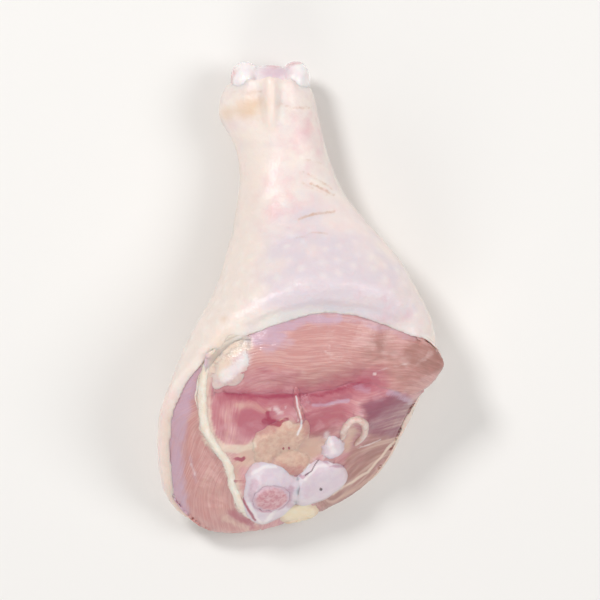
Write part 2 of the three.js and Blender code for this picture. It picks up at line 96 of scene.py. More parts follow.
# What is painted over the cut face, as one picture, so that its pieces blend where they meet. It holds painted
# shade in the crease and the crack, and a few painted highlights. Each mark is (strength, half width, point,
# ...) with its points in plan, in millimetres.
FACE_PICTURE = {
    "brown": [
        (0.9, 4.5, (30, -15), (37, -15)),  # the calf's tip
        (0.6, 5.0, (21, -13), (28, -18)),
        (0.9, 2.6, (3, -34), (10, -30)),
        (1.0, 4.2, (8, -53), (16, -46), (24, -36.5), (29, -29.5)),  # lower right strip
        (0.8, 2.5, (14, -42), (21, -35)),
    ],
    "purple": [
        (0.8, 1.0, (-2.6, -49.6), (-2.4, -54)),
        (0.7, 1.2, (-12.2, -48), (-12.6, -51.6)),
        (1.3, 3.6, (20, -28.5), (25.5, -28.5), (25, -32)),  # inner muscle at the right
        (1, 2.4, (19, -33), (24, -34)),
        (0.78, 1.0, (-2, -27), (6, -26.6), (13, -25.2)),
        (1.2, 0.4, (-4.2, -42.8), (-2.9, -44.9), (-1.4, -45.2), (0.6, -46.6), (2.0, -45.7)),
        (1, 0.4, (6.2, -42.0), (8, -43.5), (11.6, -43.8)),
    ],
    "deep": [
        (0.9, 3.2, (1, -33), (7, -31.5), (12, -29)),
        # along the crease: muscle full of blood, darkened further as painted shade where the crease dips
        (1.4, 1.5, *CREASE),
        (0.85, 4.2, *CREASE),
        (1.4, 4.4, (-12.8, -32), (-10.5, -30)),  # bruise at the left
        (0.68, 1.6, (-22, -28), (-21, -36)),
        (0.68, 3.0, (-13.5, -20), (-9, -19.5), (-3, -21)),
        (1.1, 0.8, (0.6, -34.6), (4, -31.8), (8, -30)),
        (0.94, 0.7, (1.0, -30.2), (5.5, -28.6), (11, -28.0)),
        (0.94, 1.6, (-18, -57), (-13, -59)),
    ],
    "film": [
        (1.0, 1.5, (-13.9, -8.2), (-8.1, -7.0), (-1.9, -6.2), (4.9, -4.9), (10, -4.6)),
        (0.6, 1.1, (10, -4.6), (14, -5.0), (18, -6.0)),
        (0.7, 1.2, (18, -6.4), (24, -7.4), (30, -9.6)),
        (1.0, 2.4, (-12.2, -10.2), (-6, -9.2)),
        (0.6, 1.6, (-9, -12.8), (-3, -11)),
        (1.0, 2.4, (-26, -15.5), (-29.8, -24), (-32.4, -33), (-33.4, -44), (-31.8, -56)),  # outer muscle
        (0.9, 0.5, (3.4, -27.5), (8, -27.1), (12.8, -26.2)),
        (0.9, 0.9, (23.3, -24), (26, -25.3), (29, -26.6)),
        (0.7, 1.0, (14.5, -22.8), (17.5, -23.4)),
        (0.5, 0.6, (-29, -40), (-27.6, -48)),
    ],
    "tan": [
        (1.2, 1.2, (13.6, -33.8), (12.4, -38.8)),  # inside the hooked ligament
        (1.3, 2.9, (-13.6, -41), (-9.5, -39), (-5, -36.6), (-2.6, -35)),
        (1.2, 2.8, (-4, -39.5), (0.5, -40.5), (4, -38.6)),
        (0.9, 1.5, (-16.5, -42), (-17.2, -47), (-14.6, -53)),
        (0.8, 1.5, (5.5, -36.6), (8, -38)),
        (0.55, 1.2, (-16.5, -27.4), (-12, -27.6), (-8.5, -28.6)),
        (0.6, 0.6, (11, -52.4), (19, -47), (25, -40)),
    ],
    "cream": [
        (1.1, 2.3, (-15, -10.6), (-19, -14), (-20.2, -18.5)),
        (1.2, 2.2, (-17, -9), (-22.5, -11.5), (-23.5, -16)),
        (1.1, 1.6, (-18, -14), (-13.5, -12.2)),
        (1.1, 0.8, *SEPTUM),
        (1.0, 1.0, (-23.2, -16), (-24.0, -24), (-24.2, -30), (-22.8, -36.2), (-20, -38.4), (-15, -38.8)),
        (1.0, 0.7, (-19.1, -41.1), (-18.6, -45.3), (-16.5, -50.5), (-14.4, -55), (-11.6, -59)),
        (1.0, 0.4, (8.5, -51.4), (18, -45.4), (25.6, -36.7), (30, -28.5)),
        (0.6, 1.0, (-20, -57.6), (-14, -60.5)),
    ],
    "white": [
        (0.9, 0.5, (-13.2, -53.5), (-11.4, -57.4), (-9.9, -59.6), (-7.8, -57.2), (-5.8, -54.6)),
        (0.8, 0.5, (-12.6, -45.5), (-9.6, -43.6), (-6.2, -43.6)),
        (0.7, 0.5, (1.4, -47), (4.4, -43.6), (8.4, -43.2)),
        (0.75, 0.8, (-6.2, -28.3), (-5.4, -29.2)),
        (0.7, 0.5, (-4.4, -29.4)),
        (0.6, 0.4, (-3.7, -27.9)),
        (0.6, 0.5, (-7.8, -28.4)),
        # a painted highlight: a glint on the film over the muscle
        (0.75, 0.25, (15.2, -39.0), (18.4, -38.1), (21.2, -36.7)),
        (0.9, 0.5, (19.6, -19.3)),
        (0.45, 0.25, (6.5, -13.4), (13.5, -16.6)),
        (0.45, 0.25, (20.5, -18.4), (27.5, -17)),
        # a painted highlight: a glint along the lobe's edge above the crack
        (0.7, 0.3, (1.0, -44.8), (3.2, -42.1), (5.4, -40.9), (7, -40.6)),
        (0.85, 0.26, (-1.2, -25.2), (-0.5, -28.0), (0.3, -30.8)),  # along the thin tendon
        (1.0, 0.3, (0.4, -31.4), (0.5, -32.6), (-0.7, -35.2)),
        (0.8, 1.0, (7.2, -35), (8.6, -39.6)),
        # white film over the fascia, partly a painted highlight
        (0.8, 1.5, (-19.6, -19.8), (-16.5, -17.6), (-13.4, -15)),
        (0.6, 0.35, (-28.6, -43), (-27.6, -46)),
    ],
    "blood": [
        # along the crease and its ends: clotted blood, darkened further as painted shade in the crease
        (1, 0.5, *CREASE[:-1]),
        (0.6, 1.3, (-18, -24.6), (-12, -25.3)),
        (0.6, 1.3, (11, -23.6), (17.5, -21.6)),
        (1.5, 0.7, (-9.2, -31.6), (-7, -31.8), (-5.4, -32.2)),  # clot over the joint
        (1.2, 0.4, (-5.4, -32), (-3.2, -31.3)),
        (1.2, 0.5, (-8.4, -29.4), (-8, -31)),
        (1.4, 0.4, (-16.8, -41.6), (-15.4, -41.9), (-14.6, -41.4)),
        (1.5, 0.3, (-4.4, -38.9)),
        (1.6, 0.5, (-8.2, -31.4), (-7.0, -31.9)),
        (1.5, 0.3, (-2.9, -38.8)),
        (1.2, 0.25, (0.2, -39)),
        (1.1, 0.4, (-17, -47.5), (-14.9, -52.6), (-12, -58)),
    ],
    "dark": [
        (1.0, 0.17, (1.4, -46.0), (3.0, -44.8), (3.9, -43.1), (5.2, -41.9), (6.0, -42.1)),  # painted shade in the crack by a lobe
        (1.4, 0.4, (5.5, -49.9)),  # vessel in the right lobe
    ],
}

# The nodes let into the cut face.
PALE_INLAYS = ("septum", "joint_fat", "joint_capsule", "knee_fat", "fascia")
WHITE_INLAYS = ("knee_cartilage", "ligament_stub", "ligament_loop", "tendon_strand")
MUSCLES = ("calf_muscle", "outer_muscle", "shin_muscle")
FACE_NODES = MUSCLES + PALE_INLAYS + WHITE_INLAYS + ("shin_bone",)


# ---- colours and nodes ----


def linear(hex_colour):
    """An sRGB hex colour as linear RGBA."""
    parts = [int(hex_colour[i : i + 2], 16) / 255 for i in (0, 2, 4)]
    return tuple(c / 12.92 if c <= 0.04045 else ((c + 0.055) / 1.055) ** 2.4 for c in parts) + (1.0,)


def rgba(colour):
    """Linear RGBA of a property's colour, or of an sRGB hex colour."""
    return linear(colour) if isinstance(colour, str) else tuple(colour)


def add_node(tree, kind, settings, inputs, output=0):
    """Adds a shader node with its settings, sets or links its inputs, and hands on one of its outputs."""
    made = tree.nodes.new("ShaderNode" + kind)
    for key, value in settings.items():
        setattr(made, key, value)
    for key, value in inputs.items():
        if isinstance(value, bpy.types.NodeSocket):
            tree.links.new(value, made.inputs[key])
        else:
            made.inputs[key].default_value = value
    return made.outputs[output] if len(made.outputs) else None


# ---- properties ----


def colour_property(name, description, hex_colour):
    default = linear(hex_colour)
    return bpy.props.FloatVectorProperty(
        name=name, description=description, subtype="COLOR", size=4, min=0, max=1, default=default
    )


def length_property(name, description, millimetres):
    default = millimetres * MM
    return bpy.props.FloatProperty(
        name=name, description=description, unit="LENGTH", subtype="DISTANCE", min=0, default=default
    )


def share_property(name, description, share):
    return bpy.props.FloatProperty(
        name=name, description=description, subtype="FACTOR", min=0, max=1, default=share
    )


class DrumstickSkinProperties(bpy.types.PropertyGroup):
    """Sizes and colours of the skin."""

    cell: length_property("Mesh cell", "Size of the skin's faces", 0.62)
    follicle_spacing: length_property("Follicle spacing", "Distance between feather follicles", 3.9)
    follicle_radius: length_property("Follicle radius", "Radius of one raised follicle", 1.5)
    follicle_height: length_property("Follicle height", "How far a follicle stands up", 0.2)
    base: colour_property("Skin", "Bare skin over thin fat", "f1dfdb")
    fat: colour_property("Fat", "Cream fat showing through the skin", "f5e4da")
    bluish: colour_property("Bluish skin", "Skin over muscle sheath", "e1d4db")
    flush: colour_property("Flushed skin", "Skin with blood under it", "edbfc5")
    yellow: colour_property("Yellow fat", "Thick fat by the hock and the rim", "e8ccb2")


class DrumstickFleshProperties(bpy.types.PropertyGroup):
    """Sizes and colours of muscle, fat and film in the cut face."""

    cell: length_property("Mesh cell", "Size of the muscle's faces", 0.5)
    fibre_height: length_property("Fibre height", "How far the bundles of muscle fibre stand up", 0.1)
    salmon: colour_property("Salmon muscle", "Calf muscle", "cd9793")
    rose: colour_property("Rose muscle", "Freshly cut shin muscle", "d1959c")
    # deep: also carries painted shade along the crease
    deep: colour_property("Deep muscle", "Muscle by the crease, full of blood", "ba6a78")
    brown: colour_property("Brown muscle", "Muscle that has begun to dry", "a2746a")
    purple: colour_property("Purple muscle", "Inner muscle under its sheath", "985b6d")
    # blood: also carries painted shade along the crease
    blood: colour_property("Blood", "Clotted blood in the crease", "a8465c")
    film: colour_property("Film", "Bluish sheath over the muscle", "ccb0c4")
    cream: colour_property("Cream fat", "Fat and septum between the muscle heads", "ecd6c4")
    tan: colour_property("Tan tissue", "Fibrous tissue round the joint", "dfbcaa")


class DrumstickJointProperties(bpy.types.PropertyGroup):
    """Colours of cartilage, bone and joint fat."""

    cartilage: colour_property("Cartilage", "Bluish white cartilage", "e6d9df")
    marrow: colour_property("Marrow", "Spongy bone end with its marrow", "cf9099")
    capsule: colour_property("Capsule", "Tan joint capsule", "e2c2b0")
    yellow_fat: colour_property("Yellow fat", "Fat pad by the joint", "f2dfc0")
    wetness: share_property("Wetness", "How much of the flesh is covered by a wet film", 0.6)


class DrumstickStageProperties(bpy.types.PropertyGroup):
    """Floor and camera."""

    floor: colour_property("Floor", "Plain pale floor", "efedea")
    camera_height: length_property("Camera height", "Height of the camera over the floor", 1500)
    field: length_property("Field", "Width of floor that the camera takes in", 160)


# ---- meshes ----


def points_of(mesh):
    """Vertex positions in millimetres."""
    flat = np.empty(len(mesh.vertices) * 3)
    mesh.vertices.foreach_get("co", flat)
    return flat.reshape(-1, 3) / MM


def normals_of(mesh):
    flat = np.empty(len(mesh.vertices) * 3)
    mesh.vertex_normals.foreach_get("vector", flat)
    return flat.reshape(-1, 3)


def put_points(mesh, points):
    """Writes positions in millimetres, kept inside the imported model's box."""
    low, high = (np.array(corner) for corner in CAD_BOX)
    mesh.vertices.foreach_set("co", np.clip(points * MM, low, high).ravel())
    mesh.update()


def put_attribute(mesh, name, values):
    single = np.ascontiguousarray(values, np.float32)
    mesh.attributes.new(name, "FLOAT", "POINT").data.foreach_set("value", single)


def put_grain(mesh, *parts):
    """The fibres' own coordinates, in millimetres, as one vector attribute."""
    rows = np.stack(parts, axis=1).astype(np.float32)
    mesh.attributes.new("grain", "FLOAT_VECTOR", "POINT").data.foreach_set("vector", rows.ravel())


def mesh_from(bm, name):
    """Writes a bmesh to a new mesh, and frees it."""
    mesh = bpy.data.meshes.new(name)
    bm.to_mesh(mesh)
    bm.free()
    return mesh


def add_object(name, data):
    """A new object in the scene."""
    made = bpy.data.objects.new(name, data)
    bpy.context.scene.collection.objects.link(made)
    return made


def add_modifier(piece, kind, **settings):
    """Adds a modifier with its settings."""
    made = piece.modifiers.new(kind.lower(), kind)
    for key, value in settings.items():
        setattr(made, key, value)


def merged_copy(node, name):
    """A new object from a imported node, its loose triangles merged and paired into quads."""
    bm = bmesh.new()
    bm.from_mesh(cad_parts[node].data)
    bmesh.ops.remove_doubles(bm, verts=bm.verts, dist=WELD)
    bmesh.ops.join_triangles(
        bm, faces=bm.faces, angle_face_threshold=0.7, angle_shape_threshold=1.2, topology_influence=1
    )
    mesh = mesh_from(bm, name)
    mesh.materials.clear()
    return add_object(name, mesh)


def apply_modifiers(piece):
    """Makes the modified mesh the piece's own."""
    graph = bpy.context.evaluated_depsgraph_get()
    made = bpy.data.meshes.new_from_object(piece.evaluated_get(graph))
    old = piece.data
    piece.modifiers.clear()
    piece.data = made
    bpy.data.meshes.remove(old)
    made.name = piece.name


def refined(node, name, levels, smoothing, cell=None):
    """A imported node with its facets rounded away, and if cell is given an even mesh of that size."""
    piece = merged_copy(node, name)
    add_modifier(piece, "SUBSURF", levels=levels, render_levels=levels)
    if cell:
        add_modifier(piece, "REMESH", mode="VOXEL", voxel_size=cell)
    add_modifier(piece, "SMOOTH", factor=0.5, iterations=smoothing)
    apply_modifiers(piece)
    piece.data.polygons.foreach_set("use_smooth", [True] * len(piece.data.polygons))
    return piece


def finish_piece(piece, node, material):
    """Gives a piece its material, keeps the shading of its cut edges apart, files it under the body and hides
    its node.
    """
    piece.data.set_sharp_from_angle(angle=CUT_EDGE)
    piece.data.materials.clear()
    piece.data.materials.append(material)
    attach(piece, BODY)
    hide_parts(node)


# ---- fields over the surface ----


def smoothstep(values, low, high):
    share = np.clip((values - low) / (high - low), 0, 1)
    return share * share * (3 - 2 * share)


def hill(distance, reach):
    """1 at no distance, falling off softly at the reach."""
    return np.exp(-((distance / reach) ** 2))


def cloud(points, size, seed=0):
    """Soft noise from -1 to 1 whose lumps are about size millimetres across."""
    shift = Vector((17.3 * seed, 5.1 * seed, 9.7 * seed))
    return np.array([noise.noise(Vector(p) / size + shift) for p in points])


def spot(points, x, y, across, along, turn=0.0):
    """An oval mark in plan: 1 at its middle, falling off at its half widths."""
    c, s = np.cos(np.radians(turn)), np.sin(np.radians(turn))
    dx, dy = points[:, 0] - x, points[:, 1] - y
    return np.exp(-(((dx * c + dy * s) / across) ** 2) - (((dy * c - dx * s) / along) ** 2))


def spots(points, marks):
    """Oval marks in plan added up, each (strength, x, y, half width, half length, degrees turned)."""
    return sum(strength * spot(points, *oval) for strength, *oval in marks)


def distance_in_plan(points, route):
    """Millimetres in plan from each point to a route of (x, y)."""
    nearest = np.full(len(points), 1e9)
    for start, end in zip(route, route[1:] or route):
        a, b = np.array(start, float), np.array(end, float)
        share = np.clip((points[:, :2] - a) @ (b - a) / max((b - a) @ (b - a), 1e-9), 0, 1)
        nearest = np.minimum(nearest, np.linalg.norm(points[:, :2] - a - share[:, None] * (b - a), axis=1))
    return nearest


def trail(points, reach, *route):
    """A line mark in plan along a route: 1 on the line, falling off at its reach."""
    return hill(distance_in_plan(points, route), reach)


def brushed(points, marks, drift=0):
    """The strongest of several soft marks in plan, each (strength, half width, point, ...).

    drift shifts the points by noise so that a mark gets a natural outline; a fine mark is shifted less.
    """
    best = np.zeros(len(points))
    for strength, reach, *route in marks:
        away = distance_in_plan(points + drift * min(1, 0.15 + 0.5 * reach), route)
        best = np.maximum(best, strength * (1 - smoothstep(away, 0.3 * reach, 1.7 * reach)))
    return best


def drift_of(points):
    """A natural wander in plan, in millimetres."""
    shift = np.zeros_like(points)
    for axis in (0, 1):
        shift[:, axis] = 0.9 * cloud(points, 4.5, 31 + axis) + 0.45 * cloud(points, 1.6, 33 + axis)
    return shift


def drawn_out(points):
    """Draws the tip of the calf, muscle and skin alike, out to the side."""
    return points + TIP_REACH * spot(points, 36.5, -17.5, 5, 5)[:, None] * np.array((0.98, -0.15, 0))


def tree_of(points):
    tree = KDTree(len(points))
    for i, p in enumerate(points):
        tree.insert(p, i)
    tree.balance()
    return tree


def grain_of(points, guides):
    """Millimetres along and across the muscle's fibres. Each guide is (x, y, degrees, reach) in plan."""
    along, across, total = np.zeros((3, len(points)))
    for x, y, degrees, reach in guides:
        weight = spot(points, x, y, reach, reach) + 1e-6
        c, s = np.cos(np.radians(degrees)), np.sin(np.radians(degrees))
        dx, dy = points[:, 0] - x, points[:, 1] - y
        along += weight * (dx * c + dy * s + x)
        across += weight * (dy * c - dx * s + y)
        total += weight
    return along / total, across / total


def streaks(along, across, length, width, seed=0):
    """Noise from -1 to 1 drawn out along the fibres."""
    shift = Vector((3.7 * seed, 11.3 * seed, 0.5 + seed))
    places = zip(along / length, across / width)
    return np.array([noise.noise(Vector((a, c, 0)) + shift) for a, c in places])


def joined(meshes):
    """A bmesh of several meshes."""
    together = bmesh.new()
    for mesh in meshes:
        together.from_mesh(mesh)
    return together


def surface_of(*names):
    """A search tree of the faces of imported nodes, or of finished pieces."""
    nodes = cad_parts
    together = joined([(nodes[name] if name in nodes else bpy.data.objects[name]).data for name in names])
    tree = BVHTree.FromBMesh(together)
    together.free()
    return tree


def distance_to(tree, points):
    """Millimetres from each point to the nearest face of a search tree."""
    return np.array([tree.find_nearest(p)[3] for p in points * MM]) / MM


def closed_up(points, tree, keep, reach):
    """Moves points within reach of a surface to keep millimetres from it, fading out towards reach."""
    found = [tree.find_nearest(p) for p in points * MM]
    way = np.array([hit[0] for hit in found]) / MM - points
    away = np.maximum(np.array([hit[3] for hit in found]) / MM, 0.02)
    step = (away - keep) * (1 - smoothstep(away, 0.5 * reach, reach))
    return points + way * (step / away)[:, None]


def pressed_down(points, tree, keep, share):
    """Lowers points, against the way the face looks, to keep millimetres over the nearest surface."""
    nearest = np.array([tree.find_nearest(p)[0] for p in points * MM]) / MM
    rise = (points - nearest) @ FACE_OUT - keep
    return points - (share * np.maximum(rise, 0))[:, None] * FACE_OUT


def smooth_face():
    """A search tree of the whole cut face with its seams closed and its steps rounded."""
    mesh = mesh_from(joined([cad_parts[node].data for node in FACE_NODES]), "face")
    whole = add_object("face", mesh)
    add_modifier(whole, "REMESH", mode="VOXEL", voxel_size=SMOOTH_CELL)
    add_modifier(whole, "SMOOTH", factor=0.5, iterations=SMOOTH_ROUNDS)
    tree = BVHTree.FromObject(whole, bpy.context.evaluated_depsgraph_get())
    bpy.data.objects.remove(whole)
    bpy.data.meshes.remove(mesh)
    return tree


def height_over(face, points):
    """Millimetres that each point stands over the smooth face, along the way the face looks."""
    heights = np.full(len(points), FAR)
    for i, p in enumerate(points):
        hit = face.ray_cast(Vector((p + RAY_START * FACE_OUT) * MM), Vector(-FACE_OUT))
        if hit[0] is not None:
            heights[i] = hit[3] / MM - RAY_START
    return heights


def face_relief(points):
    """Lifts of the face that all its pieces share: soft lumps and the crease under the calf muscle."""
    return 0.3 * cloud(points, 5, 7) + 0.12 * cloud(points, 2.2, 8) - 0.25 * trail(points, 1.5, *CREASE)


def paint_face(mesh):
    """Stores the picture of the cut face on a piece of it."""
    points = points_of(mesh)
    drift = drift_of(points)
    for name, marks in FACE_PICTURE.items():
        put_attribute(mesh, name, brushed(points, marks, drift))


def relaxed(mesh, points, share, rounds):
    """Evens out the points where share is 1, by moving each towards the mean of its neighbours."""
    edges = np.empty(2 * len(mesh.edges), int)
    mesh.edges.foreach_get("vertices", edges)
    a, b = edges.reshape(-1, 2).T
    count = len(points)
    links = np.maximum(np.bincount(a, minlength=count) + np.bincount(b, minlength=count), 1)
    pull = 0.6 * share[:, None]
    for _ in range(rounds):
        sums = [np.bincount(a, points[b, k], count) + np.bincount(b, points[a, k], count) for k in range(3)]
        points = points + pull * (np.stack(sums, axis=1) / links[:, None] - points)
    return points


# ---- materials ----


SMOOTH_RAMP = {"interpolation_type": "SMOOTHSTEP"}
COLOUR_MIX = {"data_type": "RGBA"}
MULTIPLY_ADD = {"operation": "MULTIPLY_ADD"}
# The sockets of a Mix node for colours, which share their names with its other sockets.
SHARE, UNDER, OVER = 0, 6, 7
MIXED = 2


def moist_tissue(name, base, mottle, layers, finish, grain=None):
    """A moist tissue: a mottled base, layers painted over it by the piece's attributes, and fine relief.

    mottle is (colour, lump size, amount). Each layer is (attribute, colour, lump size of its ragged edge,
    raggedness, most that shows). finish holds the roughness, the coat, the subsurface share and the depth of
    its scatter, and the size and depth of the relief. grain, for muscle, is (colour, amount, length, width,
    relief) of its fibres. Lengths are in millimetres.
    """
    material = bpy.data.materials.new(name)
    material.use_nodes = True
    tree = material.node_tree
    tree.nodes.clear()
    place = add_node(tree, "TexCoord", {}, {}, "Object")
    dents = {"Vector": place, "Scale": 1 / (finish["relief_size"] * MM), "Detail": 3.0, "Roughness": 0.55}
    height = add_node(tree, "TexNoise", {}, dents, "Fac")
    relief = finish["relief"]
    mottle_colour, mottle_size, amount = mottle
    rough_lumps = {"Vector": place, "Detail": 4.0, "Roughness": 0.6}
    lumps = add_node(tree, "TexNoise", {}, {**rough_lumps, "Scale": 1 / (mottle_size * MM)}, "Fac")
    # What is laid over the base in turn: a field, where it starts to show, where it shows most, how much of
    # it shows there, and its colour.
    coats = [(lumps, 0.35, 0.68, amount, mottle_colour)]
    if grain:
        fibre_colour, amount, length, width, relief = grain
        lie = add_node(tree, "Attribute", {"attribute_name": "grain"}, {}, "Vector")
        drawn = add_node(tree, "Mapping", {}, {"Vector": lie, "Scale": (1 / length, 1 / width, 0.2)})
        strand = add_node(tree, "TexNoise", {}, {"Vector": drawn, "Scale": 1.0, "Detail": 3.0}, "Fac")
        coats.append((strand, 0.4, 0.68, amount, fibre_colour))
        height = add_node(tree, "Math", MULTIPLY_ADD, {0: height, 1: finish["relief"] / relief, 2: strand})
    for attribute, layer_colour, size, ragged, most in layers:
        held = add_node(tree, "Attribute", {"attribute_name": attribute}, {}, "Fac")
        if grain:
            scale = (0.25 / size, 1 / size, 0.3 / size)
            drawn = add_node(tree, "Mapping", {}, {"Vector": lie, "Scale": scale})
            edge = add_node(tree, "TexNoise", {}, {"Vector": drawn, "Scale": 1.0, "Detail": 4.0}, "Fac")
        else:
            edge = add_node(tree, "TexNoise", {}, {**rough_lumps, "Scale": 1 / (size * MM)}, "Fac")
        swing = add_node(tree, "Math", MULTIPLY_ADD, {0: edge, 1: ragged, 2: held})
        coats.append((swing, 0.1 + 0.5 * ragged, 1.15 + 0.5 * ragged, most, layer_colour))
    colour = rgba(base)
    for field, low, high, most, over in coats:
        shown = {"Value": field, "From Min": low, "From Max": high, "To Max": most}
        share = add_node(tree, "MapRange", SMOOTH_RAMP, shown)
        colours = {SHARE: share, UNDER: colour, OVER: rgba(over)}
        colour = add_node(tree, "Mix", COLOUR_MIX, colours, MIXED)
    bump = add_node(tree, "Bump", {}, {"Height": height, "Distance": relief * MM, "Strength": 1.0})
    inputs = {
        "Base Color": colour,
        "Roughness": finish["roughness"],
        "IOR": TISSUE_IOR,
        "Subsurface Weight": finish["subsurface"],
        "Subsurface Radius": FLESH_SCATTER,
        "Subsurface Scale": finish["scatter"] * MM,
        "Coat Weight": finish["coat"],
        "Coat Roughness": finish["coat_roughness"],
        "Coat IOR": WATER_IOR,
        "Normal": bump,
        "Coat Normal": bump,
    }
    shader = add_node(tree, "BsdfPrincipled", {}, inputs)
    add_node(tree, "OutputMaterial", {}, {"Surface": shader})
    return material


# ---- operators ----


class DRUMSTICK_OT_skin(bpy.types.Operator):
    """Dresses the skin sleeve with follicles, wrinkles, a rolled rim and its fat and flush"""

    bl_idname = "drumstick.skin"
    bl_label = "Skin"

    PRESSED_ON = tuple("raw_" + node for node in MUSCLES) + ("muscle_sheath_pad", "hock_rollers")

    # Routes in plan, in millimetres: the tendon's ridge by the hock, its fat, and the fold behind the rim.
    TENDON = ((-7.7, 57.5), (-7.7, 47))
    TENDON_FAT = ((-7.7, 58), (-7.7, 46))
    RIM_FOLD = ((-8, -1), (8, 0.5), (22, -1))

    # Ovals in plan, each (x, y, half width, half length, degrees turned), in millimetres. Those in lists are
    # added up, and have their strength in front.
    TIP = (37, -16, 9, 9)  # the rim draws back at the calf's tip
    TIGHT = (-19, -12, 7, 6)  # the rim lies tighter at the upper left
    YELLOW_RIM = (-20, -11, 5, 5)
    SHEATH_UNDER_RIM = (8, -4, 26, 5)
    BY_THE_TENDON = [(-0.5, -4.4, 52, 1.6, 6), (-0.5, -11.2, 54, 1.8, 5)]  # hollows beside it
    SPREAD = [(0.9, 31, -32, 5, 9, -30)]  # more spread of the rim over the flesh
    REACH = [(3.5, -22, -12, 6, 6), (2.0, 30, -32, 5, 8, -30)]  # the rim reaches further for the flesh

    FOLD_WIDTH = 0.7  # millimetres
    FOLD_SHADE_WIDTH = 0.34  # painted shade along the bottom of a fold, in millimetres

    # Slack folds across the shank and where it widens, each (depth, point, ...) in plan, in millimetres.
    FOLDS = [
        (0.9, (3.0, 30.9), (5.6, 29.4), (8.8, 27.5)),
        (0.6, (1.0, 33.9), (4.6, 31.8), (8.2, 29.3)),
        (0.5, (0.4, 30.8), (4.4, 29.0), (7.2, 27.4)),
        (0.9, (-0.5, 21.1), (3.8, 22.4), (8.8, 23.2)),
        (0.7, (-4.9, 51.4), (-1.0, 50.7), (3.3, 51.0)),
        (0.4, (-3.6, 49.8), (0.4, 49.3)),
        (0.4, (-17.8, 55), (-13.6, 54.4), (-10, 55)),
        (0.5, (-1.0, 16.2), (3.4, 17.6), (8.6, 17.2)),
        (0.4, (1.2, 37.2), (5.8, 36.0)),
    ]

    # Marks of colour, each (strength, x, y, half width, half length, degrees turned) in plan, in millimetres:
    # those that run on to the underside, and those on the upper side alone.
    MARKS = {
        "fat": [(0.9, -17, 12, 6, 28, -12), (0.7, -12.5, 40, 6, 14), (1, -27, -10, 6, 24, -30)],
        "bluish": [],
        "flush": [(0.7, 1, 45, 4, 4.5), (0.5, -7.5, 27, 6, 7), (0.4, -34.5, -27, 3.5, 16, -8)],
        "yellow": [(1, -13, 50.8, 4.8, 3.6, 20), (0.6, -19.8, -5, 1.4, 1.4), (0.5, -20, 49, 3, 3)],
    }
    UPPER_MARKS = {
        "fat": [(0.4, 10, -2, 40, 2.6, 12)],
        "bluish": [(1.25, 8, 6, 22, 17, -20), (0.4, 26, 0, 9, 10, -40), (0.4, 2, 27, 6, 9)],
        "flush": [(0.25, 4, 32, 9, 12), (0.5, 24, -8, 9, 8, -40)],
        "yellow": [],
    }

    def execute(self, context):
        look = context.scene.drumstick_skin
        piece = refined("skin", "raw_skin", levels=2, smoothing=3, cell=look.cell)
        mesh = piece.data
        start, normals = points_of(mesh), normals_of(mesh)
        gap = distance_to(surface_of(*MUSCLES, "hock_cartilage"), start)
        outside = smoothstep(gap, 0.7, 1.5)
        rim = smoothstep((start - RIM_CENTRE) @ FACE_OUT, -5.5, 0.3)
        meaty = smoothstep(-start[:, 1], -34, -4)
        follicle = self.follicles(start, outside, look) * (0.25 + 0.75 * meaty) * (1 - rim)
        wrinkle = self.wrinkles(start, self.FOLD_WIDTH)
        relief = look.follicle_height / MM * follicle - 0.4 * wrinkle
        points = self.laid(start, normals, relief, gap, outside, rim)
        put_points(mesh, relaxed(mesh, points, smoothstep(rim, 0.7, 0.95), rounds=8))
        self.paint(mesh, start, points, normals, follicle, wrinkle, outside, rim)
        finish_piece(piece, "skin", self.plucked_skin(look))
        return {"FINISHED"}

    def follicles(self, points, outside, look):
        """Raised follicles at evenly scattered places of the outer side."""
        order = np.random.default_rng(SEED).permutation(np.flatnonzero(outside > 0.5))
        spacing = look.follicle_spacing / MM
        cells, chosen = {}, []
        for i in order:
            key = tuple((points[i] // spacing).astype(int))
            near = [
                j
                for a in (-1, 0, 1)
                for b in (-1, 0, 1)
                for c in (-1, 0, 1)
                for j in cells.get((key[0] + a, key[1] + b, key[2] + c), ())
            ]
            if all(np.sum((points[i] - points[j]) ** 2) > spacing**2 for j in near):
                cells.setdefault(key, []).append(i)
                chosen.append(i)
        tree = tree_of(points[chosen])
        away = np.array([tree.find(p)[2] for p in points])
        return hill(away, look.follicle_radius / MM)

    def wrinkles(self, points, reach):
        """The slack folds, shaken a little and broken up."""
        shaken = points + 0.4 * drift_of(points)
        deepest = np.max([depth * trail(shaken, reach, *route) for depth, *route in self.FOLDS], axis=0)
        return deepest * (points[:, 2] > 12) * (0.85 + 0.6 * cloud(points, 1.5, 14))

